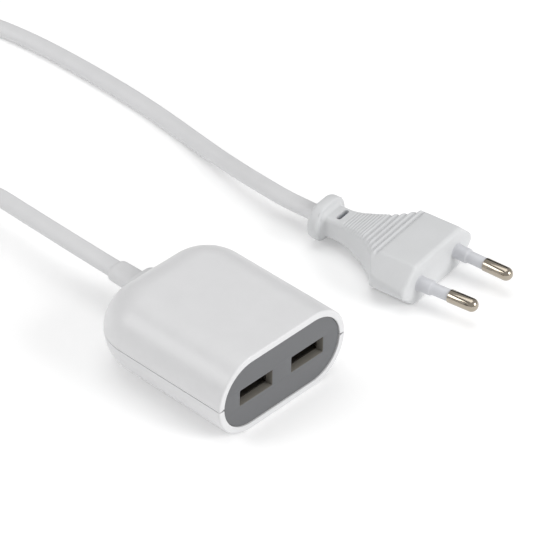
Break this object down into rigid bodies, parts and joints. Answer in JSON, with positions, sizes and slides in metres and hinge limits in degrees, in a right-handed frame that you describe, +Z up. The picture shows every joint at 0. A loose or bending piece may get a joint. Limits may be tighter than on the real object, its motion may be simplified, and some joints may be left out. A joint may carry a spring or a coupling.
{
  "type": "usb wall charger",
  "caption": "Two-port USB mains charger: rounded white casing with a grey port panel, flat cord and flat two-pin mains plug.",
  "frame": {"origin": "middle of the casing's footprint on the floor", "axes": "+X across the casing, -Y out of the port panel, +Z up"},
  "size_m": [0.1311, 0.2487, 0.025],
  "materials": {
    "white_shell": "fine satin moulding",
    "grey_panel": "fine matt moulding",
    "port_steel": "tin plated, stamped",
    "port_insulator": "moulded",
    "contact_brass": "gold flashed",
    "board_laminate": "solder mask",
    "ferrite": "ground",
    "bobbin_plastic": "moulded",
    "winding_copper": "enamelled wire",
    "yellow_tape": "film tape",
    "capacitor_sleeve": "shrink sleeve",
    "black_resin": "moulded resin",
    "resistor_coat": "dipped coat",
    "blue_resin": "dipped resin",
    "white_cord": "smooth flexible PVC",
    "brown_core": "flexible PVC",
    "blue_core": "flexible PVC",
    "pin_nickel": "nickel plated brass",
    "pin_sleeve_plastic": "moulded",
    "carrier_plastic": "moulded",
    "white_plug": "satin flexible PVC",
    "black_tie": "soft strap"
  },
  "bodies": {
    "root": {"upper_shell": "white_shell", "lower_shell": "white_shell", "front_panel": "grey_panel", "usb_shell_left": "port_steel", "usb_shell_right": "port_steel", "usb_insulator_left": "port_insulator", "usb_insulator_right": "port_insulator", "usb_contacts_left": "contact_brass", "usb_contacts_right": "contact_brass", "circuit_board": "board_laminate", "transformer_core_lower": "ferrite", "transformer_core_upper": "ferrite", "transformer_bobbin": "bobbin_plastic", "transformer_winding": "winding_copper", "transformer_tape": "yellow_tape", "input_capacitor_front": "capacitor_sleeve", "input_capacitor_back": "capacitor_sleeve", "output_capacitor_front": "capacitor_sleeve", "output_capacitor_back": "capacitor_sleeve", "bridge_rectifier": "black_resin", "optocoupler": "black_resin", "output_diode": "black_resin", "controller_chip": "black_resin", "port_chip": "black_resin", "fusible_resistor": "resistor_coat", "input_choke": "ferrite", "safety_capacitor": "blue_resin", "surface_parts": "black_resin", "cord_bushing": "white_cord", "live_core": "brown_core", "neutral_core": "blue_core", "plug_pin_left": "pin_nickel", "plug_pin_right": "pin_nickel", "pin_sleeve_left": "pin_sleeve_plastic", "pin_sleeve_right": "pin_sleeve_plastic", "pin_carrier": "carrier_plastic", "plug_crimp_left": "contact_brass", "plug_crimp_right": "contact_brass", "plug_core_left": "brown_core", "plug_core_right": "blue_core", "plug_body": "white_plug", "cord_tie": "black_tie", "cord_coil": "white_cord", "cord_to_casing": "white_cord", "cord_to_plug": "white_cord"}
  },
  "joints": []
}
